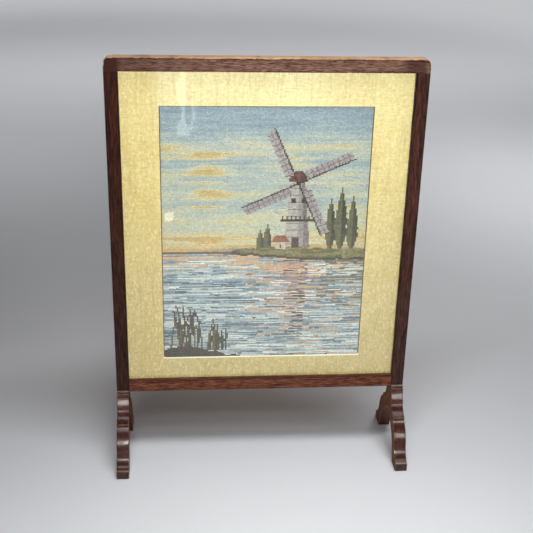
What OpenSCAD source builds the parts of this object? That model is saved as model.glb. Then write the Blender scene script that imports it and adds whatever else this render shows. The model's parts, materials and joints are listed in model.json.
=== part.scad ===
// Oak fire screen: a framed, glazed needlework panel on two sawn bracket feet.
// +X is to the viewer's right, -Y is the front, +Z is up, and the floor is z = 0.

/* [Frame] */
// Outer width of the frame
frame_w = 500; // [380:1:700]
// Height of the frame from the bottom rail's lower edge to its top
frame_h = 573; // [420:1:800]
// Depth of the frame's timber, front to back
frame_d = 22; // [21:0.5:30]
// Face width of the stiles
stile_w = 21.5; // [20:0.5:40]
// Face height of the top rail
top_rail_h = 21.5; // [20:0.5:40]
// Face height of the bottom rail
bottom_rail_h = 21.5; // [20:0.5:40]
// Radius of the two rounded top corners
corner_r = 9.5; // [3:0.5:16]
// Width of the rebate behind the sight edge
rebate_w = 8; // [6:0.5:9]

/* [Feet] */
// Thickness of each foot board
foot_t = 20.5; // [16:0.5:21.5]
// How far the foot's top stands above the bottom rail's lower edge
foot_rise = 2; // [0:0.5:4]
// Reach of the cap from the middle of the frame's depth
cap_reach = 15; // [12:0.5:16]
// Height of the cap's upright fillet
cap_h = 4.5; // [2:0.5:6]
// Reach of the upper ogee where it starts under the cap
neck_reach = 16.5; // [16:0.5:19]
// Reach of the upper ogee where its swell meets its cove
upper_shin_reach = 25; // [21:0.5:28]
// Height of the upper ogee's swell
upper_swell_h = 26.5; // [22:0.5:36]
// Height of the upper ogee's cove
upper_cove_h = 16; // [13:0.5:22]
// Hollow of the upper cove, measured from its chord
upper_cove_dip = 2.6; // [1:0.1:4]
// Reach of the upright waist fillet between the two ogees
waist_reach = 45; // [42:0.5:47]
// Height of the waist fillet
waist_h = 6.5; // [3:0.5:8]
// Reach of the lower ogee where it starts under the waist
lower_neck_reach = 48.5; // [47.5:0.5:53]
// Reach of the lower ogee's swell at its foot
lower_swell_reach = 67; // [62:0.5:69]
// Height of the lower ogee's swell
lower_swell_h = 24.5; // [20:0.5:32]
// Round of the lower swell, measured from its chord
lower_swell_rise = 2.2; // [1:0.1:4]
// Reach of the lower ogee where its shin meets its cove
lower_shin_reach = 72; // [70:0.5:76]
// Height of the straight shin
shin_h = 18; // [10:0.5:26]
// Height of the lower ogee's cove
lower_cove_h = 15.5; // [13:0.5:22]
// Hollow of the lower cove, measured from its chord
lower_cove_dip = 2.2; // [1:0.1:4]
// Reach of the toe from the middle of the frame's depth
toe_reach = 90; // [84:0.5:110]
// Height of the toe's upright face
toe_h = 15.5; // [8:0.5:20]
// Width of the small flat on top of the toe
toe_ledge = 1.5; // [0.5:0.25:3]
// Bevel along the toe's lower edge
toe_bevel = 1; // [0.5:0.25:3]
// Height of the arch's point above the floor
arch_h = 77; // [62:0.5:84]
// Half the arch's width on the floor
arch_half = 60; // [54:0.5:66]
// Half the arch's width at its shoulder
arch_shoulder_half = 42; // [36:0.5:45]
// Height of the arch's shoulder above the floor
arch_shoulder_h = 46; // [38:0.5:50]
// Round of the arch's two curves, measured from their chords
arch_rise = 1.6; // [0.5:0.1:3]

/* [Panel] */
// Thickness of the glass
glass_t = 2; // [1.5:0.1:3]
// Thickness of the window mount
mount_t = 2; // [1.2:0.1:3]
// Thickness of the needlework
needlework_t = 1.2; // [0.8:0.1:2]
// Thickness of the board that the needlework is strained over
lacing_board_t = 3.5; // [2:0.1:4]
// Thickness of the plywood back
back_board_t = 5; // [3:0.1:6]
// Mount showing at each side of its window
mount_side = 61.4; // [30:0.2:90]
// Mount showing above its window
mount_top = 55.6; // [30:0.2:90]
// Mount showing below its window
mount_bottom = 38.2; // [20:0.1:90]
// Room round the glass, mount and boards in the rebate
panel_room = 1; // [0.5:0.1:2]

/* [Joints] */
// Diameter of the dowels
dowel_dia = 6; // [5:0.5:6]
// Length of the dowels
dowel_l = 34; // [26:1:40]
// How deep the dowels go into the top rail and the stiles
dowel_sink = 13; // [8:0.5:15]
// Distance of each dowel from the front or back face
dowel_inset = 5; // [4:0.5:5]
// Glue room round the dowels and screws
glue_room = 0.1; // [0.05:0.01:0.2]
// Diameter of the foot screws' shanks
foot_screw_dia = 4.2; // [3.5:0.1:4.4]
// Length of the foot screws
foot_screw_l = 76; // [66:1:90]
// Diameter of the foot screws' heads
foot_screw_head_dia = 8.4; // [7:0.1:9]
// Height of the foot screws' countersunk heads
foot_screw_head_h = 2.6; // [2:0.1:3]
// Height of the recess for each screw's head above the arch's point
foot_screw_recess = 10; // [6:0.5:14]
// Distance of the foot screws from the frame's outer sides
foot_screw_inset = 8.5; // [7:0.25:9.5]

/* [Turn buttons] */
// Thickness of the brass turn buttons
button_t = 1.6; // [1:0.1:2.5]
// Length of a turn button from its screw to its tip
button_l = 18; // [15:0.5:22]
// Width of a turn button at its screw
button_w = 10; // [8:0.5:12]
// Width of a turn button's rounded tip
button_tip_w = 6.5; // [5:0.5:8]
// Width of a turn button's arm between the two
button_arm_w = 5; // [3.6:0.2:5]
// Gap between a turn button and what lies under and over it
button_gap = 0.3; // [0.2:0.05:0.5]
// Distance of the side buttons from the sight's top and bottom
button_inset = 120; // [60:5:200]
// Diameter of the button screws' shanks
screw_dia = 2.8; // [2.2:0.1:3.5]
// Running room between a button and its screw's shank
screw_room = 0.08; // [0.04:0.01:0.1]
// Diameter of the button screws' round heads
screw_head_dia = 6; // [5:0.1:8]
// Height of the button screws' round heads
screw_head_h = 2; // [1.5:0.1:3]
// Depth of the button screws in the frame
screw_l = 11; // [8:0.5:16]

/* [Hidden] */
$fn = 48;

// Steps along each curve of the foot's outline
curve_steps = 8;
// How far a cutter runs past what it cuts
past = 1;

oak = [0.24, 0.14, 0.09];
gold = [0.72, 0.60, 0.36];
brass = [0.74, 0.60, 0.30];
steel = [0.62, 0.62, 0.64];

// Depth stations: the frame's front and back faces, then the layers in the rebate
front_y = -frame_d / 2;
back_y = frame_d / 2;
back_board_y = back_y - button_gap - back_board_t;
lacing_board_y = back_board_y - lacing_board_t;
needlework_y = lacing_board_y - needlework_t;
mount_y = needlework_y - mount_t;
glass_y = mount_y - glass_t;

// Heights of the foot's stages, stacked up from the floor
toe_top_z = toe_h;
lower_shin_z = toe_top_z + lower_cove_h;
lower_swell_z = lower_shin_z + shin_h;
waist_z = lower_swell_z + lower_swell_h;
waist_top_z = waist_z + waist_h;
upper_shin_z = waist_top_z + upper_cove_h;
neck_z = upper_shin_z + upper_swell_h;
foot_top_z = neck_z + cap_h;

// Heights of the frame's parts above the floor
rail_z = foot_top_z - foot_rise;
sight_z = rail_z + bottom_rail_h;
top_z = rail_z + frame_h;
sight_top_z = top_z - top_rail_h;
half_w = frame_w / 2;
sight_half = half_w - stile_w;
sight_h = sight_top_z - sight_z;

// The pocket that all four rebates form together
pocket_half = sight_half + rebate_w;
pocket_z = sight_z - rebate_w;
pocket_h = sight_h + 2 * rebate_w;
panel_half = pocket_half - panel_room;
panel_z = pocket_z + panel_room;
panel_h = pocket_h - 2 * panel_room;

// Middle of the timber that is left whole beside the rebate
stile_mid_x = (pocket_half + half_w) / 2;
bottom_rail_mid_z = (rail_z + pocket_z) / 2;
top_rail_mid_z = (pocket_z + pocket_h + top_z) / 2;
foot_screw_x = half_w - foot_screw_inset;
dowel_ys = [front_y + dowel_inset, back_y - dowel_inset];
head_z = arch_h + foot_screw_recess;

// Each turn button: its screw's x and z, and the angle that its tip points to when it is closed
button_places = [
    [-stile_mid_x, sight_z + button_inset, 0],
    [-stile_mid_x, sight_top_z - button_inset, 0],
    [stile_mid_x, sight_z + button_inset, 180],
    [stile_mid_x, sight_top_z - button_inset, 180],
    [0, top_rail_mid_z, -90],
    [0, bottom_rail_mid_z, 90]
];
button_y = back_y + button_gap;
screw_head_y = button_y + button_t + button_gap;

// Points after p up to q on a circular arc that stands off their chord by sag, to the left of p to q
function arc_points(p, q, sag) =
    let (run = q - p)
    let (chord = norm(run))
    let (along = run / chord)
    let (aside = [-along[1], along[0]] * sign(sag))
    let (r = (chord * chord / 4 + sag * sag) / (2 * abs(sag)))
    let (half = asin(chord / 2 / r))
    [for (i = [1 : curve_steps])
        let (a = half * (2 * i / curve_steps - 1))
        (p + q) / 2 + along * r * sin(a) + aside * r * (cos(a) - cos(half))];

// Points after p up to q on a soft S that starts and ends upright
function swell_points(p, q) =
    [for (i = [1 : curve_steps])
        let (t = i / curve_steps)
        [p[0] + (q[0] - p[0]) * (1 - cos(180 * t)) / 2, p[1] + (q[1] - p[1]) * t]];

// The foot's outer edge from the cap down to the sole, as reach and height
foot_edge = concat(
    [[cap_reach, foot_top_z], [cap_reach, neck_z], [neck_reach, neck_z]],
    swell_points([neck_reach, neck_z], [upper_shin_reach, upper_shin_z]),
    arc_points([upper_shin_reach, upper_shin_z], [waist_reach, waist_top_z], -upper_cove_dip),
    [[waist_reach, waist_z], [lower_neck_reach, waist_z]],
    arc_points([lower_neck_reach, waist_z], [lower_swell_reach, lower_swell_z], lower_swell_rise),
    [[lower_shin_reach, lower_shin_z]],
    arc_points([lower_shin_reach, lower_shin_z], [toe_reach - toe_ledge, toe_top_z], -lower_cove_dip),
    [[toe_reach, toe_top_z], [toe_reach, toe_bevel], [toe_reach - toe_bevel, 0]]
);

// The arch's edge from the sole up to its point
arch_edge = concat(
    [[arch_half, 0]],
    arc_points([arch_half, 0], [arch_shoulder_half, arch_shoulder_h], -arch_rise),
    arc_points([arch_shoulder_half, arch_shoulder_h], [0, arch_h], -arch_rise)
);

half_outline = concat(foot_edge, arch_edge);
last = len(half_outline) - 1;
foot_outline = concat(half_outline, [for (i = [last - 1 : -1 : 0]) [-half_outline[i][0], half_outline[i][1]]]);

// One foot board from x to the right, with the hole for its screw
module foot_board(x) {
    difference() {
        translate([x, 0, 0])
            rotate([90, 0, 90])
                linear_extrude(foot_t)
                    polygon(foot_outline);
        foot_screw_holes();
    }
}

// A plain length of timber with the frame's depth
module timber(x, z, w, h) {
    translate([x, front_y, z])
        cube([w, frame_d, h]);
}

// The pocket of the rebates, open to the back
module rebate_pocket() {
    translate([-pocket_half, glass_y, pocket_z])
        cube([2 * pocket_half, frame_d, pocket_h]);
}

// Upright dowels or their holes, between the top rail and each stile
module upright_dowels(room) {
    for (side = [-1, 1])
        for (y = dowel_ys)
            translate([side * stile_mid_x, y, sight_top_z + dowel_sink - dowel_l - room])
                cylinder(d = dowel_dia + 2 * room, h = dowel_l + 2 * room);
}

// Level dowels or their holes, between the bottom rail and each stile
module level_dowels(room) {
    for (side = [-1, 1])
        for (y = dowel_ys)
            translate([side * (sight_half + dowel_sink - dowel_l / 2), y, bottom_rail_mid_z])
                rotate([0, 90, 0])
                    cylinder(d = dowel_dia + 2 * room, h = dowel_l + 2 * room, center = true);
}

// Holes for the long screws that come up through the feet, with a wider recess for their heads
module foot_screw_holes() {
    for (side = [-1, 1])
        translate([side * foot_screw_x, 0, 0]) {
            cylinder(d = foot_screw_dia + 2 * glue_room, h = head_z + foot_screw_l + glue_room);
            cylinder(d = foot_screw_head_dia + 2 * glue_room, h = head_z);
            translate([0, 0, head_z])
                cylinder(
                    d1 = foot_screw_head_dia + 2 * glue_room,
                    d2 = foot_screw_dia + 2 * glue_room,
                    h = foot_screw_head_h
                );
        }
}

// Pilot holes for the screws that the turn buttons turn on
module button_screw_holes() {
    for (place = button_places)
        translate([place[0], back_y - screw_l - glue_room, place[1]])
            rotate([-90, 0, 0])
                cylinder(d = screw_dia + 2 * glue_room, h = screw_l + glue_room + past);
}

// The holes that all four frame members share
module frame_cuts() {
    rebate_pocket();
    upright_dowels(glue_room);
    level_dowels(glue_room);
    foot_screw_holes();
    button_screw_holes();
}

module left_foot() {
    color(oak)
        foot_board(-half_w);
}

module right_foot() {
    color(oak)
        foot_board(half_w - foot_t);
}

module left_stile() {
    color(oak)
        difference() {
            timber(-half_w, foot_top_z, stile_w, sight_top_z - foot_top_z);
            frame_cuts();
        }
}

module right_stile() {
    color(oak)
        difference() {
            timber(sight_half, foot_top_z, stile_w, sight_top_z - foot_top_z);
            frame_cuts();
        }
}

module bottom_rail() {
    color(oak)
        difference() {
            timber(-sight_half, rail_z, 2 * sight_half, bottom_rail_h);
            frame_cuts();
        }
}

// The top rail, as wide as the frame, with its upper corners rounded
module top_rail() {
    color(oak)
        difference() {
            timber(-half_w, sight_top_z, frame_w, top_rail_h);
            for (side = [-1, 1])
                translate([side * half_w, 0, top_z])
                    corner_waste();
            frame_cuts();
        }
}

// What is rounded off one top corner, both ways about x = 0 of the corner
module corner_waste() {
    difference() {
        cube([2 * corner_r, frame_d + 2 * past, 2 * corner_r], center = true);
        for (side = [-1, 1])
            translate([side * corner_r, 0, -corner_r])
                rotate([90, 0, 0])
                    cylinder(r = corner_r, h = frame_d + 4 * past, center = true);
    }
}

module top_rail_dowels() {
    color("burlywood")
        upright_dowels(0);
}

module bottom_rail_dowels() {
    color("burlywood")
        level_dowels(0);
}

// The long screws, heads down in the feet
module foot_screws() {
    color(steel)
        for (side = [-1, 1])
            translate([side * foot_screw_x, 0, head_z]) {
                cylinder(d1 = foot_screw_head_dia, d2 = foot_screw_dia, h = foot_screw_head_h);
                cylinder(d = foot_screw_dia, h = foot_screw_l);
            }
}

// One sheet that fills the rebates' pocket at depth y
module panel_sheet(y, thickness) {
    translate([-panel_half, y, panel_z])
        cube([2 * panel_half, thickness, panel_h]);
}

module glass_pane() {
    color([0.75, 0.82, 0.82, 0.3])
        panel_sheet(glass_y, glass_t);
}

// The gold mount with its window cut through
module window_mount() {
    color(gold)
        difference() {
            panel_sheet(mount_y, mount_t);
            translate([-sight_half + mount_side, mount_y - past, sight_z + mount_bottom])
                cube([2 * (sight_half - mount_side), mount_t + 2 * past, sight_h - mount_bottom - mount_top]);
        }
}

module needlework() {
    color([0.66, 0.63, 0.58])
        panel_sheet(needlework_y, needlework_t);
}

module lacing_board() {
    color([0.78, 0.72, 0.62])
        panel_sheet(lacing_board_y, lacing_board_t);
}

module back_board() {
    color([0.62, 0.46, 0.30])
        panel_sheet(back_board_y, back_board_t);
}

// One turn button lying on the frame's back, its tip pointing to +X before it is turned into place
module turn_button(place) {
    tip_x = button_l - button_tip_w / 2;
    color(brass)
        translate([place[0], button_y, place[1]])
            rotate([0, -place[2], 0])
                rotate([-90, 0, 0])
                    linear_extrude(button_t)
                        difference() {
                            union() {
                                circle(d = button_w);
                                translate([tip_x, 0])
                                    circle(d = button_tip_w);
                                translate([0, -button_arm_w / 2])
                                    square([tip_x, button_arm_w]);
                            }
                            circle(d = screw_dia + 2 * screw_room);
                        }
}

module left_lower_button() {
    turn_button(button_places[0]);
}

module left_upper_button() {
    turn_button(button_places[1]);
}

module right_lower_button() {
    turn_button(button_places[2]);
}

module right_upper_button() {
    turn_button(button_places[3]);
}

module top_button() {
    turn_button(button_places[4]);
}

module bottom_button() {
    turn_button(button_places[5]);
}

// Half a flattened ball for a screw's head, cut from a full ball so that its edge meets the shank's plane
module round_head() {
    ball_r = (screw_head_dia * screw_head_dia / 4 + screw_head_h * screw_head_h) / (2 * screw_head_h);
    intersection() {
        translate([0, 0, screw_head_h - ball_r])
            sphere(r = ball_r);
        cylinder(d = screw_head_dia + 2 * past, h = screw_head_h + past);
    }
}

module button_screws() {
    color(brass)
        for (place = button_places)
            translate([place[0], back_y - screw_l, place[1]])
                rotate([-90, 0, 0]) {
                    cylinder(d = screw_dia, h = screw_l + screw_head_y - back_y + screw_head_h / 2);
                    translate([0, 0, screw_l + screw_head_y - back_y])
                        round_head();
                }
}

left_foot();
right_foot();
left_stile();
right_stile();
bottom_rail();
top_rail();
top_rail_dowels();
bottom_rail_dowels();
foot_screws();
glass_pane();
window_mount();
needlework();
lacing_board();
back_board();
left_lower_button();
left_upper_button();
right_lower_button();
right_upper_button();
top_button();
bottom_button();
button_screws();
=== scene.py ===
import json
import math

import bmesh
import bpy
import numpy as np
from mathutils import Matrix, Vector

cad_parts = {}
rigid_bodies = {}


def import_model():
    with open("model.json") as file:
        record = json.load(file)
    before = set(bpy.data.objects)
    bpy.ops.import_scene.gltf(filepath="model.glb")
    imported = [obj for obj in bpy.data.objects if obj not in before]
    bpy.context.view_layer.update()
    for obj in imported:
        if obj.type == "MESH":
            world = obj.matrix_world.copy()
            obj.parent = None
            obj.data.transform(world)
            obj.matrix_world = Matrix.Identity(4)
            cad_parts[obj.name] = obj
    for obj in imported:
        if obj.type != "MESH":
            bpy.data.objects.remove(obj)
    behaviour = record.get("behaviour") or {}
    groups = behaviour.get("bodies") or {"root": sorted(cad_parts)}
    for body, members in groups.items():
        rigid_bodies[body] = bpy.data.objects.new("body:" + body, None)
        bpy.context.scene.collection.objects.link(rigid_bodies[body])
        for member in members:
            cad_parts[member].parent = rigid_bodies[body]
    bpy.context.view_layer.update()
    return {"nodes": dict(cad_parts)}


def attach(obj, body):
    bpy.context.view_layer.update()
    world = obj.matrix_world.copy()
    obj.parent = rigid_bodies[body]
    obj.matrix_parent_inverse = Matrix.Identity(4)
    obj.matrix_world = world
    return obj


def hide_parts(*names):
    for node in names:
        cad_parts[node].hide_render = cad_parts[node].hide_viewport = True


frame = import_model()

mm = 0.001
print("stage: frame loaded,", len(frame["nodes"]), "CAD nodes")


# Linear light from an sRGB value c from 0 to 255: (c / 255) ^ 2.2, near enough for paint
def tone(r, g, b):
    return tuple((np.array([r, g, b]) / 255.0) ** 2.2) + (1.0,)


# Smooth random line along t: seeded numbers between -1 and 1 at every step, joined by half cosines
def wander(t, step, seed):
    t = np.asarray(t, float)
    place = (t - t.min()) / step
    cell = np.floor(place).astype(int)
    ease = (1 - np.cos(np.pi * (place - cell))) / 2
    values = np.random.default_rng(seed).uniform(-1, 1, cell.max() + 2)
    return values[cell] * (1 - ease) + values[cell + 1] * ease


# Smooth random field over rows and columns: seeded numbers on a coarse grid, mixed by cosine weights
def cloudField(rows, cols, rowStep, colStep, seed):
    r = np.arange(rows)[:, None] / rowStep
    c = np.arange(cols)[None, :] / colStep
    ri = np.floor(r).astype(int)
    ci = np.floor(c).astype(int)
    re = (1 - np.cos(np.pi * (r - ri))) / 2
    ce = (1 - np.cos(np.pi * (c - ci))) / 2
    v = np.random.default_rng(seed).uniform(0, 1, (ri.max() + 2, ci.max() + 2))
    low = v[ri, ci] * (1 - ce) + v[ri, ci + 1] * ce
    high = v[ri + 1, ci] * (1 - ce) + v[ri + 1, ci + 1] * ce
    return low * (1 - re) + high * re


# Dashes: each row is cut into runs about length cells long, at its own offset, one value a run
def dashField(rows, cols, length, seed):
    rng = np.random.default_rng(seed)
    cuts = rng.uniform(0, 1, (rows, cols)) < 1.0 / length
    run = np.cumsum(cuts, 1) + np.arange(rows)[:, None] * cols
    return rng.uniform(0, 1, rows * cols + cols)[run]


# Points after p up to q on the arc whose middle stands sag off their chord, to the left of p to q
def arcPoints(p, q, sag, steps=14):
    p = np.array(p, float)
    q = np.array(q, float)
    chord = np.linalg.norm(q - p)
    along = (q - p) / chord
    aside = np.array([-along[1], along[0]]) * np.sign(sag)
    radius = (chord**2 / 4 + sag**2) / (2 * abs(sag))
    half = math.asin(chord / 2 / radius)
    a = half * (2 * np.arange(1, steps + 1) / steps - 1)
    return (p + q) / 2 + along * (radius * np.sin(a))[:, None] + aside * (radius * (np.cos(a) - math.cos(half)))[:, None]


# Points after p up to q on a soft S: the reach follows half a cosine while the height runs evenly
def swellPoints(p, q, steps=16):
    t = np.arange(1, steps + 1) / steps
    return np.stack([p[0] + (q[0] - p[0]) * (1 - np.cos(np.pi * t)) / 2, p[1] + (q[1] - p[1]) * t], 1)


# A closed outline with eased corners, its inside on the left. Corner C between the points A and B,
# radius back on its two edges, becomes (1-t)^2 A + 2t(1-t) C + t^2 B, with bands of points beside it.
# The second value is wear: each corner's weight times exp(-distance / fade). The third keeps each
# point's corner, its inward mitre (the sum of the edges' inward normals over 1 plus their dot
# product) and the tangent of half its turn, which is 0 where the outline doesn't turn outwards.
def softOutline(points, radii, weights, bands, fade):
    points = np.asarray(points, float)
    radii = np.asarray(radii, float)[:, None]
    toBack = np.roll(points, 1, 0) - points
    toNext = np.roll(points, -1, 0) - points
    lenBack = np.linalg.norm(toBack, axis=1, keepdims=True)
    lenNext = np.linalg.norm(toNext, axis=1, keepdims=True)
    toBack = toBack / lenBack
    toNext = toNext / lenNext
    ease = np.minimum(radii, 0.42 * np.minimum(lenBack, lenNext))
    t = np.linspace(0, 1, 5)[None, :, None]
    c = points[:, None]
    arc = (1 - t) ** 2 * (c + (toBack * ease)[:, None]) + 2 * t * (1 - t) * c + t**2 * (c + (toNext * ease)[:, None])
    far = np.array(bands, float)[None, :]
    on = (radii > 0) * 1.0
    outBack = np.minimum(ease + far * on, 0.49 * lenBack) * on
    outNext = np.minimum(ease + far * on, 0.49 * lenNext) * on
    before = c + toBack[:, None] * outBack[:, ::-1, None]
    after = c + toNext[:, None] * outNext[:, :, None]
    loop = np.concatenate([before, arc, after], 1)
    turn = toNext[:, 0] * toBack[:, 1] - toNext[:, 1] * toBack[:, 0]
    dot = -(toBack * toNext).sum(1)
    normals = np.stack([toBack[:, 1] - toNext[:, 1], toNext[:, 0] - toBack[:, 0]], 1)
    mitre = normals / np.maximum(1 + dot, 0.45)[:, None]
    shorten = np.where((turn > 0.05) & (radii[:, 0] > 0), turn / (1 + dot), 0)
    corners = np.concatenate([points, mitre, shorten[:, None]], 1)
    corners = np.repeat(corners, loop.shape[1], 0)
    loop = loop.reshape(-1, 2)
    distinct = np.linalg.norm(loop - np.roll(loop, 1, 0), axis=1) > 1e-4
    loop = loop[distinct]
    away = np.linalg.norm(loop[:, None] - points[None], axis=2)
    wear = (np.asarray(weights, float)[None] * np.exp(-np.maximum(away - 0.5, 0) / fade)).max(1)
    return loop, wear, corners[distinct]


# The outline moved in by each inset: point + mitre * inset. Beside an outward corner C, a point at v
# from it goes to C + mitre * inset + v * (1 - inset * tangent / |v|), and never past the corner.
def insetOutline(loop, corners, insets):
    edge = np.roll(loop, -1, 0) - loop
    edge = edge / np.linalg.norm(edge, axis=1, keepdims=True)
    normal = np.stack([-edge[:, 1], edge[:, 0]], 1)
    back = np.roll(normal, 1, 0)
    inward = (normal + back) / np.maximum(1 + (normal * back).sum(1, keepdims=True), 0.45)
    d = insets[:, None, None]
    tangent = corners[None, :, 4:]
    fromCorner = loop - corners[:, :2]
    reach = np.maximum(np.linalg.norm(fromCorner, axis=1, keepdims=True), 1e-6)
    kept = np.maximum(1 - d * tangent / reach[None], 0.02)
    drawn = corners[None, :, :2] + corners[None, :, 2:4] * d + fromCorner[None] * kept
    return np.where(tangent > 0, drawn, loop[None] + inward[None] * d)


# Places along a length from a to b: end arrises eased by ease as a quarter round, then bands,
# then even steps. Each place has its inset, which is how far the outline has moved in there.
def endStations(a, b, ease, bands, step, extra=()):
    turn = np.radians([0, 25, 45, 67, 90])
    start = a + ease * (1 - np.cos(turn))
    inset = ease * (1 - np.sin(turn))
    near = a + ease + np.array(bands, float)
    far = b - (near - a)
    inner = np.arange(near[-1] + step, far[-1] - step / 2, step)
    middle = np.unique(np.round(np.concatenate([near, inner, far, np.array(extra, float)]), 5))
    where = np.concatenate([start, middle, (a + b - start)[::-1]])
    insets = np.concatenate([inset, middle * 0, inset[::-1]])
    return where, insets


# A solid from an outline carried along a straight length. Rings on the two end faces stand
# capBands in from the arris, the rest follow endStations, and the last rings are closed flat.
def carryOutline(loop, wear, corners, a, b, ease, capBands, bands, step, fade, endWear=1.0, extra=()):
    where, inset = endStations(a, b, ease, bands, step, extra)
    cap = np.array(capBands, float)[::-1]
    where = np.concatenate([cap * 0 + a, where, cap * 0 + b])
    inset = np.concatenate([ease + cap, inset, (ease + cap)[::-1]])
    flat = insetOutline(loop, corners, inset)
    run = np.broadcast_to(where[:, None], flat.shape[:2])
    fromEnd = np.minimum(np.abs(where - a), np.abs(b - where))
    nearEnd = np.exp(-np.maximum(np.maximum(fromEnd, inset) - ease, 0) / fade) * endWear
    grown = np.maximum(wear[None] * np.exp(-np.maximum(inset - ease, 0) / fade)[:, None], nearEnd[:, None])
    grown[[0, -1]] = 0
    rings, count = flat.shape[:2]
    i = np.arange(rings - 1)[:, None] * count
    j = np.arange(count)[None]
    k = (j + 1) % count
    quads = np.stack([i + j, i + k, i + count + k, i + count + j], 2).reshape(-1, 4)
    faces = quads.tolist()
    faces.append(list(range(count))[::-1])
    faces.append(list(range((rings - 1) * count, rings * count)))
    return flat, run, grown, faces


# Puts points in millimetres into a closed mesh at the origin, with its attributes, material and body
def placeMesh(name, points, faces, material, body, replaced=(), floats=None, sharp=48, merge=0.0):
    mesh = bpy.data.meshes.new(name)
    mesh.from_pydata((np.asarray(points, float).reshape(-1, 3) * mm).tolist(), [], faces)
    for key, values in (floats or {}).items():
        layer = mesh.attributes.new(key, "FLOAT", "POINT")
        layer.data.foreach_set("value", np.asarray(values, np.float32).ravel())
    made = bmesh.new()
    made.from_mesh(mesh)
    if merge:
        bmesh.ops.remove_doubles(made, verts=made.verts, dist=merge * mm)
        bmesh.ops.dissolve_degenerate(made, edges=made.edges, dist=merge * mm / 4)
    bmesh.ops.recalc_face_normals(made, faces=made.faces)
    made.to_mesh(mesh)
    made.free()
    mesh.shade_smooth()
    mesh.set_sharp_from_angle(angle=math.radians(sharp))
    mesh.materials.append(material)
    piece = bpy.data.objects.new(name, mesh)
    bpy.context.scene.collection.objects.link(piece)
    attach(piece, body)
    if replaced:
        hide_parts(*replaced)
    return piece


# One node; a value that is a socket is linked, any other is set on the input of that name
def addNode(tree, kind, values=None, **settings):
    made = tree.nodes.new(kind)
    for key, value in settings.items():
        setattr(made, key, value)
    for key, value in (values or {}).items():
        if isinstance(value, bpy.types.NodeSocket):
            tree.links.new(value, made.inputs[key])
        else:
            made.inputs[key].default_value = value
    return made


# A mix of two colours or numbers by a factor
def mixColour(tree, factor, a, b, blend="MIX"):
    made = addNode(tree, "ShaderNodeMix", data_type="RGBA", blend_type=blend)
    for index, value in ((0, factor), (6, a), (7, b)):
        if isinstance(value, bpy.types.NodeSocket):
            tree.links.new(value, made.inputs[index])
        else:
            made.inputs[index].default_value = value
    return made.outputs[2]


# One sum, product, power or other sum of numbers
def sumUp(tree, operation, a, b=0.0, clamp=False):
    made = addNode(tree, "ShaderNodeMath", operation=operation, use_clamp=clamp)
    for index, value in ((0, a), (1, b)):
        if isinstance(value, bpy.types.NodeSocket):
            tree.links.new(value, made.inputs[index])
        else:
            made.inputs[index].default_value = value
    return made.outputs[0]


# Value x from low..high to toLow..toHigh, with soft ends
def rangeOf(tree, value, low, high, toLow=0.0, toHigh=1.0):
    made = addNode(tree, "ShaderNodeMapRange", {"Value": value}, interpolation_type="SMOOTHSTEP")
    for key, number in (("From Min", low), ("From Max", high), ("To Min", toLow), ("To Max", toHigh)):
        if isinstance(number, bpy.types.NodeSocket):
            tree.links.new(number, made.inputs[key])
        else:
            made.inputs[key].default_value = number
    return made.outputs["Result"]


def noiseOf(tree, vector, scale, detail=3.0, roughness=0.55, stretch=None):
    if stretch is not None:
        vector = addNode(tree, "ShaderNodeVectorMath", {0: vector, 1: stretch}, operation="MULTIPLY").outputs[0]
    made = addNode(tree, "ShaderNodeTexNoise", {"Vector": vector, "Detail": detail, "Roughness": roughness})
    if isinstance(scale, bpy.types.NodeSocket):
        tree.links.new(scale, made.inputs["Scale"])
    else:
        made.inputs["Scale"].default_value = scale
    return made.outputs["Fac"]


kinds = {"v": "NodeSocketVector", "c": "NodeSocketColor", "f": "NodeSocketFloat"}


# A shader node group with named inputs and outputs; each is (name, kind, value)
def newGroup(name, inputs, outputs):
    tree = bpy.data.node_groups.new(name, "ShaderNodeTree")
    for label, kind, value in inputs:
        socket = tree.interface.new_socket(name=label, in_out="INPUT", socket_type=kinds[kind])
        if value is not None:
            socket.default_value = value
    for label, kind in outputs:
        tree.interface.new_socket(name=label, in_out="OUTPUT", socket_type=kinds[kind])
    return tree, tree.nodes.new("NodeGroupInput").outputs, tree.nodes.new("NodeGroupOutput").inputs


def useGroup(tree, group, values):
    made = addNode(tree, "ShaderNodeGroup", node_tree=group)
    for key, value in values.items():
        if isinstance(value, bpy.types.NodeSocket):
            tree.links.new(value, made.inputs[key])
        else:
            made.inputs[key].default_value = value
    return made.outputs


# An empty material with its Principled shader, its object coordinates and its output
def newMaterial(name, constants):
    made = bpy.data.materials.new(name)
    made.use_nodes = True
    tree = made.node_tree
    tree.nodes.clear()
    shader = addNode(tree, "ShaderNodeBsdfPrincipled", constants)
    out = addNode(tree, "ShaderNodeOutputMaterial", {"Surface": shader.outputs[0]})
    place = addNode(tree, "ShaderNodeTexCoord").outputs["Object"]
    return made, tree, shader, out, place


def feed(tree, shader, colour=None, roughness=None, height=None, strength=0.3, distance=0.001):
    if colour is not None:
        tree.links.new(colour, shader.inputs["Base Color"])
    if roughness is not None:
        tree.links.new(roughness, shader.inputs["Roughness"])
    if height is not None:
        bump = addNode(tree, "ShaderNodeBump", {"Height": height, "Strength": strength, "Distance": distance})
        tree.links.new(bump.outputs[0], shader.inputs["Normal"])


def readValue(tree, name):
    return addNode(tree, "ShaderNodeAttribute", attribute_name=name).outputs["Fac"]


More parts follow.
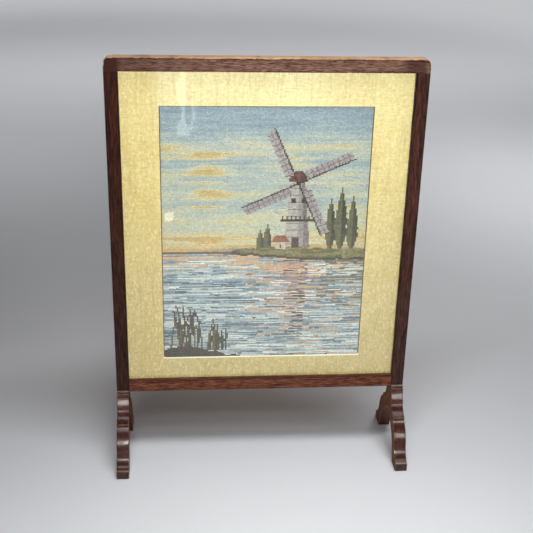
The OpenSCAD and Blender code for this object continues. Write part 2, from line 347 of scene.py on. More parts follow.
# Grain: x runs along the timber. Broad figure, fine streaks and short pores are noises stretched
# along x; the colour goes from dark by figure to mid, by streaks to light, and pores darken it.
def makeGrain():
    tree, given, gives = newGroup(
        "timberGrain",
        [("Vector", "v", None), ("Dark", "c", None), ("Mid", "c", None), ("Light", "c", None),
         ("Coarseness", "f", 1.0), ("Streaks", "f", 0.5), ("Pores", "f", 0.6)],
        [("Color", "c"), ("Height", "f"), ("Pores", "f")],
    )
    scale = given["Coarseness"]
    figure = noiseOf(tree, given["Vector"], scale, 4.0, 0.65, (12.0, 150.0, 150.0))
    streak = noiseOf(tree, given["Vector"], scale, 3.0, 0.6, (38.0, 620.0, 620.0))
    line = noiseOf(tree, given["Vector"], scale, 2.0, 0.5, (60.0, 760.0, 760.0))
    broad = mixColour(tree, rangeOf(tree, figure, 0.24, 0.6), given["Dark"], given["Mid"])
    fine = sumUp(tree, "MULTIPLY", rangeOf(tree, streak, 0.4, 0.62), given["Streaks"])
    grain = mixColour(tree, fine, broad, given["Light"])
    pores = sumUp(tree, "MULTIPLY", rangeOf(tree, line, 0.51, 0.6), given["Pores"])
    dark = sumUp(tree, "MULTIPLY", pores, 0.8)
    tree.links.new(mixColour(tree, dark, grain, (0.004, 0.002, 0.001, 1)), gives["Color"])
    tree.links.new(sumUp(tree, "SUBTRACT", sumUp(tree, "MULTIPLY", streak, 0.5), pores), gives["Height"])
    tree.links.new(pores, gives["Pores"])
    return tree


# Worn arrises: the wear value plus a noise times Breakup, taken between two levels as a mask
def makeEdgeWear():
    tree, given, gives = newGroup(
        "edgeWear",
        [("Vector", "v", None), ("Wear", "f", 0.0), ("Scale", "f", 200.0), ("Breakup", "f", 0.5),
         ("Start", "f", 0.5), ("Full", "f", 0.8)],
        [("Mask", "f")],
    )
    rough = sumUp(tree, "SUBTRACT", noiseOf(tree, given["Vector"], given["Scale"], 4.0, 0.6), 0.5)
    moved = sumUp(tree, "MULTIPLY_ADD", rough, given["Breakup"])
    tree.links.new(given["Wear"], moved.node.inputs[2])
    tree.links.new(rangeOf(tree, moved, given["Start"], given["Full"]), gives["Mask"])
    return tree


# Age: blotches of two noise sizes, as one soft mask from 0 to 1 times Amount
def makeBlotches():
    tree, given, gives = newGroup(
        "blotches",
        [("Vector", "v", None), ("Scale", "f", 20.0), ("Amount", "f", 1.0)],
        [("Mask", "f"), ("Fine", "f")],
    )
    wide = noiseOf(tree, given["Vector"], given["Scale"], 3.0, 0.55)
    fineScale = sumUp(tree, "MULTIPLY", given["Scale"], 9.0)
    fine = noiseOf(tree, given["Vector"], fineScale, 4.0, 0.6)
    both = sumUp(tree, "ADD", sumUp(tree, "MULTIPLY", wide, 0.7), sumUp(tree, "MULTIPLY", fine, 0.3))
    tree.links.new(sumUp(tree, "MULTIPLY", rangeOf(tree, both, 0.36, 0.64), given["Amount"]), gives["Mask"])
    tree.links.new(fine, gives["Fine"])
    return tree


# Specks: small round spots where the distance to the nearest scattered point is short
def makeSpecks():
    tree, given, gives = newGroup(
        "specks",
        [("Vector", "v", None), ("Scale", "f", 60.0), ("Size", "f", 0.1), ("Amount", "f", 1.0)],
        [("Mask", "f")],
    )
    spots = addNode(tree, "ShaderNodeTexVoronoi", {"Vector": given["Vector"], "Scale": given["Scale"]})
    near = rangeOf(tree, spots.outputs["Distance"], given["Size"], sumUp(tree, "MULTIPLY", given["Size"], 0.5))
    tree.links.new(sumUp(tree, "MULTIPLY", near, given["Amount"]), gives["Mask"])
    return tree


timberGrain = makeGrain()
edgeWear = makeEdgeWear()
blotches = makeBlotches()
specks = makeSpecks()


# Stained and waxed oak: grain, then old dirt beside the arrises, the pale worn arrises themselves, and a pale film
# on upward faces: on the rails a faded finish with painted top light, on the feet painted highlights along the ledges
def stainedOak(name, look):
    made, tree, shader, out, place = newMaterial(
        name, {
            "IOR": 1.5, "Coat Roughness": look["waxRough"], "Specular IOR Level": look["shine"],
        }
    )
    along = addNode(tree, "ShaderNodeMapping", {"Vector": place, "Rotation": look["turn"], "Location": look["shift"]})
    along = along.outputs[0]
    grain = useGroup(tree, timberGrain, {
        "Vector": along, "Dark": look["dark"], "Mid": look["mid"], "Light": look["light"],
        "Coarseness": look["coarse"], "Streaks": look["streaks"], "Pores": look["pores"],
    })
    wear = readValue(tree, "wear")
    dirt = useGroup(tree, edgeWear, {
        "Vector": place, "Wear": wear, "Scale": 130.0, "Breakup": 0.55, "Start": 0.06, "Full": 0.42,
    })["Mask"]
    worn = useGroup(tree, edgeWear, {
        "Vector": place, "Wear": wear, "Scale": 210.0, "Breakup": look["breakup"],
        "Start": look["wornFrom"], "Full": look["wornFrom"] + 0.22,
    })["Mask"]
    aged = useGroup(tree, blotches, {"Vector": place, "Scale": 26.0, "Amount": 1.0})
    # painted light: the fade attribute brings a faded finish with painted top light on the rails, and painted
    # highlights along the feet's ledges
    fadedAndLit = sumUp(tree, "MULTIPLY", readValue(tree, "fade"), rangeOf(tree, aged["Mask"], 0.0, 0.7, 0.7, 1.0))
    polish = readValue(tree, "polish")
    dull = sumUp(tree, "MULTIPLY_ADD", polish, -look["sawn"])
    dull.node.inputs[2].default_value = look["sawn"]
    base = mixColour(tree, dull, grain["Color"], look["sawnColour"])
    base = mixColour(tree, sumUp(tree, "MULTIPLY", dirt, look["dirt"]), base, look["dirtColour"])
    base = mixColour(tree, fadedAndLit, base, look["fadeAndLightColour"])
    base = mixColour(tree, readValue(tree, "shade"), base, look["dark"])
    paleWood = mixColour(tree, grain["Pores"], look["wornColour"], look["mid"])
    base = mixColour(tree, sumUp(tree, "MULTIPLY", worn, look["worn"]), base, paleWood)
    rough = sumUp(tree, "ADD", rangeOf(tree, aged["Mask"], 0.0, 1.0, look["rough"], look["rough"] + 0.14),
                  sumUp(tree, "MULTIPLY", grain["Pores"], 0.2))
    height = sumUp(tree, "ADD", grain["Height"], sumUp(tree, "MULTIPLY", aged["Fine"], 0.35))
    feed(tree, shader, base, rough, height, look["relief"], 0.0006)
    tree.links.new(sumUp(tree, "MULTIPLY", polish, look["wax"]), shader.inputs["Coat Weight"])
    return made


oakLook = {
    "dark": tone(48, 24, 17), "mid": tone(88, 52, 40), "light": tone(128, 84, 66),
    "coarse": 1.0, "streaks": 0.55, "pores": 0.75, "turn": (0, 0, 0), "shift": (0, 0, 0),
    "wax": 0.6, "waxRough": 0.16, "rough": 0.46, "relief": 0.4, "shine": 0.2,
    "dirt": 0.75, "dirtColour": tone(34, 17, 12), "worn": 0.9, "wornColour": tone(190, 150, 118),
    "wornFrom": 0.55, "breakup": 0.6, "fadeAndLightColour": tone(150, 112, 88), "sawn": 0.0, "sawnColour": tone(112, 88, 44),
}
upright = (0, math.radians(90), 0)  # turns the grain from x to z
inDepth = (0, 0, math.radians(90))  # turns the grain from x to y

# Top rail: its fade colour is a worn, faded top that also carries painted top light
topRailOak = stainedOak("topRailOak", {
    **oakLook, "dark": tone(66, 42, 35), "mid": tone(124, 90, 76), "light": tone(174, 136, 118), "shift": (0.3, 0, 0),
    "fadeAndLightColour": tone(240, 188, 142), "wornColour": tone(232, 184, 144), "pores": 0.85, "coarse": 1.3,
    "breakup": 0.9,
})
leftStileOak = stainedOak("leftStileOak", {
    **oakLook, "dark": tone(27, 10, 6), "mid": tone(60, 32, 22), "light": tone(98, 60, 48),
    "turn": upright, "shift": (0.1, 0.2, 0), "worn": 0.45, "streaks": 0.4,
})
rightStileOak = stainedOak("rightStileOak", {
    **oakLook, "dark": tone(34, 15, 11), "mid": tone(75, 44, 36), "light": tone(116, 79, 68),
    "turn": upright, "shift": (0.7, 0.4, 0), "worn": 0.45, "streaks": 0.4,
})
bottomRailOak = stainedOak("bottomRailOak", {
    **oakLook, "dark": tone(46, 15, 7), "mid": tone(110, 54, 34), "light": tone(172, 110, 80),
    "coarse": 1.35, "streaks": 0.7, "shift": (0.5, 0.1, 0), "worn": 0.35,
})
# Foot oak: its fade colour is a painted highlight along the upward ledges
footOak = stainedOak("footOak", {
    **oakLook, "dark": tone(22, 5, 3), "mid": tone(86, 29, 16), "light": tone(152, 72, 44), "turn": inDepth, "relief": 0.75,
    "wornFrom": 0.56, "breakup": 0.8, "worn": 0.66, "sawn": 0.4, "wax": 0.95, "waxRough": 0.24, "shine": 0.1,
    "wornColour": tone(182, 146, 112), "sawnColour": tone(108, 78, 34), "fadeAndLightColour": tone(222, 190, 156),
})
print("stage: oak finishes ready")


timber = {
    "front": -11.0, "back": 11.0, "rebateY": -3.0, "rebate": 8.0,
    "outer": 250.0, "sight": 228.5, "low": 125.0, "sightLow": 146.5, "sightTop": 676.5, "top": 698.0,
    "footTop": 127.0, "bands": (0.8, 2.2, 4.6), "fade": 1.5, "step": 3.0,
}


# A timber's section, depth against distance from the sight edge outwards, an L with the rebate at
# the back of the sight edge, or whole. Corner weights say how worn each arris is.
def timberSection(width, weights, radii, whole):
    t = timber
    corners = [(t["front"], 0), (t["rebateY"], 0), (t["rebateY"], t["rebate"]), (t["back"], t["rebate"]),
               (t["back"], width), (t["front"], width)]
    if whole:
        corners[2:4] = [((t["rebateY"] + t["back"]) / 2, 0), (t["back"], 0)]
        weights = (weights[0], 0, 0) + tuple(weights[3:])
    return softOutline(corners, radii, weights, t["bands"], t["fade"])


# A rebated timber carried from a to b: the L section inside closed[0]..closed[1], whole outside it
def rebatedTimber(width, weights, radii, a, b, ease, closed, extra=(), endWear=0.5):
    t = timber
    edges = [closed[0] - 0.002, closed[0] + 0.002, closed[1] - 0.002, closed[1] + 0.002]
    edges = [e for e in edges if a + 6 < e < b - 6]
    made = [
        carryOutline(*timberSection(width, weights, radii, whole), a, b, ease, (0.8, 2.0), t["bands"], t["step"],
                     t["fade"], endWear, list(extra) + edges)
        for whole in (False, True)
    ]
    run = made[0][1]
    whole = (run < closed[0]) | (run > closed[1])
    flat = np.where(whole[..., None], made[1][0], made[0][0])
    grown = np.where(whole, made[1][2], made[0][2])
    return flat[..., 0], flat[..., 1], run, grown, made[0][3]


# Small hand-made unevenness: two wandering lines along the run, stronger on the worn arrises
def uneven(depth, out, run, grown, seed, amount):
    flat = run[:, 0]
    bend = wander(flat, 90.0, seed)[:, None] * amount * 0.4
    chip = np.abs(wander(flat, 5.0, seed + 1))[:, None] * np.clip(grown, 0, 1) ** 2 * amount * 1.4
    return depth - np.sign(depth) * chip + bend * 0.3, out - chip * 0.5


topRail = {"radii": (0.7, 0.5, 0.3, 0.6, 1.0, 2.4), "weights": (0.62, 0.2, 0, 0.3, 0.5, 1.0), "corner": 9.5}


# The top rail runs over the stiles. Its top follows the quarter round of the corner:
# height = top - r + sqrt(r^2 - d^2), where d is how far x has gone into the corner.
def makeTopRail():
    t = timber
    r = topRail["corner"]
    turn = np.radians(np.arange(4, 90, 5))
    inCorner = t["outer"] - r + r * np.sin(turn)
    inCorner = inCorner[inCorner < t["outer"] - 1.6]
    pocketEnd = t["sight"] + t["rebate"]
    depth, out, run, grown, faces = rebatedTimber(
        21.5, topRail["weights"], topRail["radii"], -t["outer"], t["outer"], 1.2, (-pocketEnd, pocketEnd),
        np.concatenate([inCorner, -inCorner]), 0.9
    )
    depth, out = uneven(depth, out, run, grown, 11, 0.25)
    into = np.clip(np.abs(run) - (t["outer"] - r), 0, r)
    crown = 21.5 - r + np.sqrt(r**2 - into**2)
    out = out * crown / 21.5
    reach = 1.3 + 0.8 * wander(run[:, 0], 13.0, 29)[:, None]
    upward = np.clip((out - crown + reach) / 0.9, 0, 1)
    ends = np.clip((-run - 238) / 10, 0, 1)
    rightEnd = np.clip((run - 236) / 8, 0, 1)
    spots = 0.84 + 0.14 * wander(run[:, 0], 36.0, 17)[:, None] + 0.1 * wander(run[:, 0], 7.0, 23)[:, None]
    # the top face's fade: a worn, faded finish with brighter spots, and partly painted top light
    fade = upward * spots * (1 - ends) + rightEnd * upward * 0.4
    side = 0.5 + 0.5 * np.clip(run / 120, -1, 1)
    shade = np.clip((-run - 222) / 12, 0, 1) * 0.7 + np.clip((-run - 60) / 170, 0, 1) * 0.5
    shade = (shade + np.clip((run - 200) / 16, 0, 1) * np.clip((246 - run) / 6, 0, 1) * 0.7) * (1 - upward)
    low = (out < 3) * (depth < -8)
    grown = np.where(low, grown * (0.3 + 0.7 * side), grown)
    grown = np.where((np.abs(run) > t["sight"]) & (out < 9), grown * np.clip(out / 9, 0, 1) ** 2, grown)
    points = np.stack([run, depth, t["sightTop"] + out], 2)
    placeMesh("topRailTimber", points, faces, topRailOak, "screen", ["top_rail"],
              {"wear": grown, "fade": fade, "shade": shade}, merge=0.01)


stile = {"radii": (0.8, 0.5, 0.3, 0.6, 1.0, 1.1), "weights": (0.42, 0.2, 0, 0.3, 0.42, 0.5)}


# A stile between its foot and the top rail; side is -1 for the left one and 1 for the right
def makeStile(name, side, material, seed):
    t = timber
    depth, out, run, grown, faces = rebatedTimber(
        21.5, stile["weights"], stile["radii"], t["footTop"], t["sightTop"], 0.25,
        (t["sightLow"] - t["rebate"], t["top"] + 9), (), 0.15
    )
    depth, out = uneven(depth, out, run, grown, seed, 0.18)
    points = np.stack([side * (t["sight"] + out), depth, run], 2)
    placeMesh(name + "StileTimber", points, faces, material, "screen", [name + "_stile"],
              {"wear": grown, "fade": grown * 0}, merge=0.01)


bottomRail = {"radii": (0.7, 0.5, 0.3, 0.6, 1.0, 0.9), "weights": (0.42, 0.2, 0, 0.3, 0.3, 0.32)}


# The bottom rail between the stiles, its sight edge up
def makeBottomRail():
    t = timber
    depth, out, run, grown, faces = rebatedTimber(
        21.5, bottomRail["weights"], bottomRail["radii"], -t["sight"], t["sight"], 0.25, (-999, 999), (), 0.1
    )
    depth, out = uneven(depth, out, run, grown, 41, 0.2)
    points = np.stack([run, depth, t["sightLow"] - out], 2)
    # a little fade on the upward face in front of the rebate: partly a faded finish, partly painted top light
    upward = np.clip((1.0 - out) / 0.8, 0, 1) * (depth < -3.5)
    placeMesh("bottomRailTimber", points, faces, bottomRailOak, "screen", ["bottom_rail"],
              {"wear": grown, "fade": upward * 0.15}, merge=0.01)


makeTopRail()
makeStile("left", -1, leftStileOak, 21)
makeStile("right", 1, rightStileOak, 31)
makeBottomRail()
print("stage: frame timbers made")


foot = {
    "cap": (15, 127), "capLow": (15, 122.5), "neck": (16.5, 122.5), "upperShin": (25, 96),
    "waistTop": (45, 80), "waist": (45, 73.5), "lowerNeck": (48.5, 73.5), "swellEnd": (67, 49),
    "shinEnd": (72, 31), "toeLedge": (88.5, 15.5), "toeTop": (90, 15.5), "toeLow": (90, 1), "sole": (89, 0),
    "arch": (60, 0), "shoulder": (42, 46), "point": (0, 77),
    "upperDip": 2.6, "rise": 2.2, "lowerDip": 2.2, "archRise": 1.6,
    "highlightLedges": ((127, 0, 16), (73.5, 44.5, 50), (15.5, 86, 91)), "thick": 20.5, "ease": 0.85, "bands": (0.5, 1.4), "fade": 1.25, "step": 2.4,
}


# One half of the foot's outline from the cap down the ogees to the sole and up the arch:
# straight fillets, a half cosine swell, arcs of a given sag, each point with its ease and wear
def footHalf():
    f = foot
    pieces = [
        (f["cap"], 0.9, 0.9), (f["capLow"], 0, 0), (f["neck"], 0.6, 1.0),
        (swellPoints(f["neck"], f["upperShin"]), 0, 0),
        (arcPoints(f["upperShin"], f["waistTop"], -f["upperDip"]), 0, 0),
        (f["waist"], 0.3, 0.0), (f["lowerNeck"], 0.8, 1.0),
        (arcPoints(f["lowerNeck"], f["swellEnd"], f["rise"]), 0, 0),
        (f["shinEnd"], 0, 0),
        (arcPoints(f["shinEnd"], f["toeLedge"], -f["lowerDip"]), 0, 0),
        (f["toeTop"], 0.9, 1.0), (f["toeLow"], 0.6, 0.7), (f["sole"], 0.5, 0.6), (f["arch"], 0.8, 0.5),
        (arcPoints(f["arch"], f["shoulder"], -f["archRise"]), 0, 0),
        (arcPoints(f["shoulder"], f["point"], -f["archRise"]), 0, 0),
    ]
    points = np.concatenate([np.atleast_2d(p) for p, e, w in pieces])
    ease = np.concatenate([np.full(len(np.atleast_2d(p)), e) for p, e, w in pieces])
    worn = np.concatenate([np.full(len(np.atleast_2d(p)), w) for p, e, w in pieces])
    waistTop = np.linalg.norm(points - np.array(f["waistTop"]), axis=1) < 1e-6
    return points, np.where(waistTop, 0.9, ease), np.where(waistTop, 0.9, worn)


# A foot board: both halves of the outline, run so that the inside is on the left, carried
# across the board's thickness from x
def makeFoot(name, x, seed):
    f = foot
    points, ease, worn = footHalf()
    far = points[:-1][::-1] * (-1, 1)
    loop, wear, corners = softOutline(
        np.concatenate([points, far])[::-1], np.concatenate([ease, ease[:-1][::-1]])[::-1],
        np.concatenate([worn, worn[:-1][::-1]])[::-1], f["bands"], f["fade"]
    )
    flat, run, grown, faces = carryOutline(
        loop, wear, corners, x, x + f["thick"], f["ease"], (0.35, 0.75), (0.6, 1.6, 3.4), f["step"], f["fade"], 0.68
    )
    around = np.cumsum(np.linalg.norm(loop - np.roll(loop, 1, 0), axis=1))
    fromFace = f["thick"] / 2 - np.abs(run - x - f["thick"] / 2)
    chip = np.abs(wander(around, 2.0, seed))[None] * np.clip(grown, 0, 1) ** 2 * 0.25
    chip = chip * np.clip(fromFace / f["ease"], 0, 1)
    points = np.stack([run, flat[..., 0] * (1 - chip / 90), flat[..., 1]], 2)
    # painted highlight: pale lines along the upward ledges, where the light catches them, carried as the fade attribute
    ledgeHighlight = np.zeros(flat.shape[:2])
    for level, near, far in f["highlightLedges"]:
        on = (np.abs(flat[..., 0]) > near) & (np.abs(flat[..., 0]) < far)
        ledgeHighlight = np.maximum(ledgeHighlight, on * np.clip(1.5 - np.abs(flat[..., 1] - level) / 0.5, 0, 1))
    polish = 1.0 * (fromFace > 0.1)
    placeMesh(name + "FootBoard", points, faces, footOak, "screen", [name + "_foot"],
              {"wear": grown, "fade": ledgeHighlight, "polish": polish}, sharp=40)


makeFoot("left", -250.0, 51)
makeFoot("right", 229.5, 61)
print("stage: feet made")


mount = {"half": 167.1, "low": 184.7, "top": 620.9, "outHalf": 235.5, "outLow": 139.5, "outTop": 683.5,
         "front": -0.98, "back": 0.98, "cut": 1.3}


# Gold paper: straw gold with large blotches, mixed with a painted highlight paler in the middle of the top, painted
# shade deeper towards the foot and a deeper yellow at the left edge, then multiplied by fine blotches, weft and upright
# streaks (stretched noise); the cut edge shows the card's brown core where core is 1, with a painted highlight along
# its foot, lit from above
def goldPaper():
    made, tree, shader, out, place = newMaterial("goldPaper", {"IOR": 1.45, "Metallic": 0.0})
    cloudy = useGroup(tree, blotches, {"Vector": place, "Scale": 14.0, "Amount": 1.0})
    mottle = useGroup(tree, blotches, {"Vector": place, "Scale": 270.0, "Amount": 1.0})
    fibre = noiseOf(tree, place, 1.0, 3.0, 0.6, (420.0, 420.0, 150.0))
    weft = noiseOf(tree, place, 1.0, 2.0, 0.6, (70.0, 70.0, 430.0))
    streaky = noiseOf(tree, place, 1.0, 3.0, 0.6, (170.0, 170.0, 11.0))
    axes = addNode(tree, "ShaderNodeSeparateXYZ", {"Vector": place}).outputs
    # painted shade: the paper darker towards the foot of the mount
    paintedLowShade = rangeOf(tree, axes["Z"], 0.62, 0.12)
    leftSide = rangeOf(tree, axes["X"], -0.16, -0.18)
    middle = sumUp(tree, "SUBTRACT", rangeOf(tree, axes["X"], 0.2, 0.05), leftSide, clamp=True)
    # painted highlight: a paler patch in the middle of the top of the mount
    paintedTopHighlight = sumUp(tree, "MULTIPLY", middle, rangeOf(tree, axes["Z"], 0.54, 0.66))
    spot = useGroup(tree, specks, {"Vector": place, "Scale": 42.0, "Size": 0.035, "Amount": 0.5})["Mask"]
    core = readValue(tree, "core")
    # painted highlight: the cut edge's foot, lit from above, made bright
    paintedLitLip = sumUp(tree, "MULTIPLY", core, rangeOf(tree, axes["Z"], 0.1868, 0.1862))
    layers = [
        (paintedTopHighlight, 0.38, tone(242, 232, 190), "MIX"),
        (paintedLowShade, 0.5, tone(166, 142, 90), "MIX"),
        (leftSide, 0.3, tone(196, 168, 92), "MIX"),
        (mottle["Mask"], 0.46, tone(224, 212, 186), "MULTIPLY"),
        (rangeOf(tree, weft, 0.5, 0.68), 0.4, tone(208, 198, 168), "MULTIPLY"),
        (rangeOf(tree, streaky, 0.5, 0.7), 0.28, tone(194, 184, 160), "MULTIPLY"),
        (rangeOf(tree, fibre, 0.5, 0.7), 0.4, tone(248, 234, 190), "MIX"),
        (spot, 1.0, tone(120, 92, 52), "MIX"),
        (core, 1.0, tone(92, 72, 50), "MIX"),
        (paintedLitLip, 1.0, tone(255, 248, 222), "MIX"),
    ]
    colour = mixColour(tree, cloudy["Mask"], tone(218, 196, 132), tone(230, 212, 152))
    for mask, amount, over, blend in layers:
        colour = mixColour(tree, sumUp(tree, "MULTIPLY", mask, amount), colour, over, blend)
    rough = rangeOf(tree, mottle["Mask"], 0.0, 1.0, 0.42, 0.6)
    feed(tree, shader, colour, rough, sumUp(tree, "ADD", mottle["Fine"], fibre), 0.18, 0.0004)
    return made


# Six mitred rectangles, each grown from the window by its own amount, joined round in a ring
def makeMount():
    m = mount
    grow = np.array([0.0, m["cut"] - 0.12, m["cut"], m["cut"] + 0.25, 5.0, 1e9, 1e9])
    depth = np.array([m["back"], m["front"] + 0.1, m["front"] + 0.02, m["front"], m["front"], m["front"], m["back"]])
    core = np.array([1, 1, 0.8, 0, 0, 0, 0.5])
    half = np.minimum(m["half"] + grow, m["outHalf"])
    low = np.maximum(m["low"] - grow, m["outLow"])
    top = np.minimum(m["top"] + grow, m["outTop"])
    points = np.stack([
        np.stack([-half, depth, low], 1), np.stack([half, depth, low], 1),
        np.stack([half, depth, top], 1), np.stack([-half, depth, top], 1),
    ], 1)
    rings = len(grow)
    i = np.arange(rings)[:, None] * 4
    n = ((np.arange(rings) + 1) % rings)[:, None] * 4
    j = np.arange(4)[None]
    k = (j + 1) % 4
    faces = np.stack([i + j, i + k, n + k, n + j], 2).reshape(-1, 4).tolist()
    placeMesh("goldMount", points, faces, goldPaper(), "screen", ["window_mount"],
              {"core": np.repeat(core, 4)}, sharp=25)


makeMount()
print("stage: gold mount made")


stitch = {"cols": 139, "rows": 218, "low": 1.72, "high": 1.12, "back": 2.19, "horizon": 122}


# The picture, one colour for each stitch, rows from the top. Sky and water are palettes read at
# a level: a gradient down the rows plus fields of noise stretched sideways, rounded to whole steps.
def stitchPicture():
    rows = stitch["rows"]
    cols = stitch["cols"]
    line = stitch["horizon"]
    r = np.arange(rows)[:, None] * np.ones((1, cols))
    c = np.arange(cols)[None] * np.ones((rows, 1))
    rng = np.random.default_rng(404)

    sky = np.array([
        [128, 146, 156], [140, 158, 169], [150, 168, 178], [160, 175, 181], [172, 184, 185], [184, 192, 184],
        [196, 200, 182], [206, 204, 176], [212, 204, 164], [216, 200, 148], [214, 188, 128], [204, 172, 112],
    ], float)
    bands = np.array([(0, 1.6), (16, 2.4), (28, 4.6), (36, 6.2), (46, 3.4), (56, 5.8), (63, 3.8), (72, 6.4),
                      (80, 4.6), (90, 7.2), (100, 6.6), (108, 8.8), (114, 8.2), (122, 10.2)])
    sway = 5.0 * (cloudField(rows, cols, 14, 50, 4) - 0.5)
    level = np.interp(r + sway, bands[:, 0], bands[:, 1])
    drift = cloudField(rows, cols, 3.0, 26, 5) * 0.5 + dashField(rows, cols, 11, 7) * 0.36
    drift = drift + dashField(rows, cols, 3, 6) * 0.28
    puffs = np.clip(cloudField(rows, cols, 3.4, 30, 12) - 0.58, 0, 1) * 2.6
    level = level + (drift - 0.57) * np.interp(r, [0, 20, 122], [2.6, 5.0, 5.0])
    level = level + 6.0 * puffs * np.clip((r - 24) / 12, 0, 1)
    picture = sky[np.clip(np.round(level), 0, len(sky) - 1).astype(int)]

    water = np.array([
        [88, 106, 116], [120, 140, 151], [146, 162, 171], [170, 184, 188], [194, 203, 201], [218, 222, 214],
        [238, 238, 228], [210, 174, 136],
    ], float)
    dash = dashField(rows, cols, 12, 15) * 0.5 + dashField(rows, cols, 5, 19) * 0.14
    dash = dash + cloudField(rows, cols, 4.5, 40, 16) * 0.36
    pick = -1.9 + 11.0 * dash - 1.3 * np.exp(-(r - line) / 12)
    glow = cloudField(rows, cols, 1.0, 12, 18) + 0.55 * np.exp(-(r - line) / 14) - 0.25 * np.exp(-(((c - 20) / 26) ** 2))
    pick = np.where(glow > 0.86, 7, np.clip(pick, 0, 6))
    below = r >= line
    picture = np.where(below[..., None], water[np.clip(np.round(pick), 0, 7).astype(int)], picture)

    def paint(mask, colour, spread=8.0, seed=0):
        grainy = np.random.default_rng(seed).uniform(-1, 1, (rows, cols))[..., None] * spread
        picture[mask] = (np.array(colour, float) + grainy)[mask]

    # far shore and hills: heights above the horizon that wander along the columns
    hill = 1.6 + 2.6 * (1 + wander(c[0], 21.0, 71)) * np.clip((c[0] - 8) / 60, 0.15, 1)
    paint((r < line) & (r > line - hill[None]), (158, 148, 146), 6, 1)
    near = 0.8 + 1.5 * (1 + wander(c[0], 9.0, 72)) * np.clip((c[0] - 20) / 40, 0, 1)
    paint((r < line) & (r > line - near[None]), (122, 108, 100), 8, 2)
    paint((r >= line - 1) & (r < line + 1), (112, 80, 62), 8, 3)

    # poplars behind the mill: narrow leaf shapes, darker on their right
    poplars = ((114, 120, 46, 3.6), (121, 120, 55, 4.2), (129, 121, 49, 3.9), (66, 121, 20, 2.6), (71, 121, 25, 2.8))
    for middle, ground, tall, wide in poplars:
        t = np.clip((ground - r) / tall, 0, 1)
        leaf = wide * np.sin(np.pi * t**0.72) * (0.85 + 0.3 * cloudField(rows, cols, 2, 2, 80 + middle))
        inside = (np.abs(c - middle) < leaf) & (r < ground) & (r > ground - tall)
        paint(inside, (96, 96, 66), 16, 81 + middle)
        paint(inside & (c > middle + leaf * 0.15), (54, 56, 42), 10, 82 + middle)

    # the mill: a tower that tapers with height, cap, gallery and door
    axis = 91.0
    t = (118 - r) / 58
    half = 9.2 - 4.6 * t
    tower = (np.abs(c - axis) < half) & (t > 0) & (t < 1)
    paint(tower, (184, 176, 170), 7, 91)
    paint(tower & (c > axis + half * 0.1), (160, 150, 148), 7, 92)
    paint(tower & (c > axis + half * 0.55), (126, 114, 112), 7, 93)
    paint(tower & (np.mod(r, 6) < 1), (142, 132, 130), 6, 94)
    cap = ((c - axis) / 6.4) ** 2 + ((r - 60) / 8.6) ** 2 < 1
    paint(cap & (r < 61), (104, 66, 56), 9, 95)
    paint(cap & (r < 61) & (c > axis + 1), (74, 48, 42), 8, 96)
    paint((np.abs(c - axis) < 11.4) & (r >= 93) & (r < 95), (50, 36, 30), 6, 97)
    paint((np.abs(c - axis) < 11.4) & (r >= 90) & (r < 93) & (np.mod(c, 3) < 1), (86, 64, 54), 6, 98)
    for side in (-3, 4):
        paint((np.abs(c - axis - side) < 1.2) & (r > 74) & (r < 79), (58, 46, 44), 5, 99)
    paint((np.abs(c - axis + 1) < 2.1) & (r > 108) & (r < 118), (62, 44, 38), 5, 100)

    # four sails on the hub: distance along and across each arm, in even millimetres
    across = (c - axis) * 2.404
    above = (62 - r) * 2.0
    for degrees in (24, 114, 204, 294):
        a = math.radians(degrees)
        along = across * math.cos(a) + above * math.sin(a)
        off = -across * math.sin(a) + above * math.cos(a)
        cloth = (along > 16) & (along < 98) & (off > 0.6) & (off < 15)
        paint(cloth, (172, 163, 166), 8, 110 + degrees)
        paint(cloth & (np.mod(along, 9) < 2.2), (128, 112, 112), 8, 111 + degrees)
        paint(cloth & (np.abs(off - 7.8) < 1.0), (138, 122, 122), 8, 112 + degrees)
        paint((along > 0) & (along < 100) & (np.abs(off) < 1.25), (48, 34, 30), 6, 113 + degrees)
    paint((across**2 + above**2) < 12, (52, 38, 36), 4, 120)

    # low bank with a cottage and its roof
    bank = 119 - 2.2 * np.sin(np.clip((c[0] - 52) / 60, 0, 1) * np.pi) + 0.8 * wander(c[0], 5.0, 73)
    edge = 122 + 6.5 * np.clip((c[0] - 48) / 50, 0, 1) ** 0.7 + 0.8 * wander(c[0], 4.0, 74)
    land = (c > 46) & (r > bank[None]) & (r < edge[None])
    paint(land, (132, 122, 78), 16, 130)
    paint(land & (cloudField(rows, cols, 2, 7, 131) > 0.55), (98, 98, 62), 12, 132)
    paint(land & (r > edge[None] - 2.0), (58, 42, 33), 10, 133)
    paint((c > 76) & (c < 84) & (r > 112) & (r < 119), (206, 192, 170), 6, 134)
    roof = (r > 106) & (r <= 112) & (np.abs(c - 80) < 3.2 + (r - 106) * 0.5)
    paint(roof, (146, 84, 66), 10, 135)
    paint((np.abs(c - 80) < 1) & (r > 114) & (r < 118), (70, 52, 46), 4, 136)

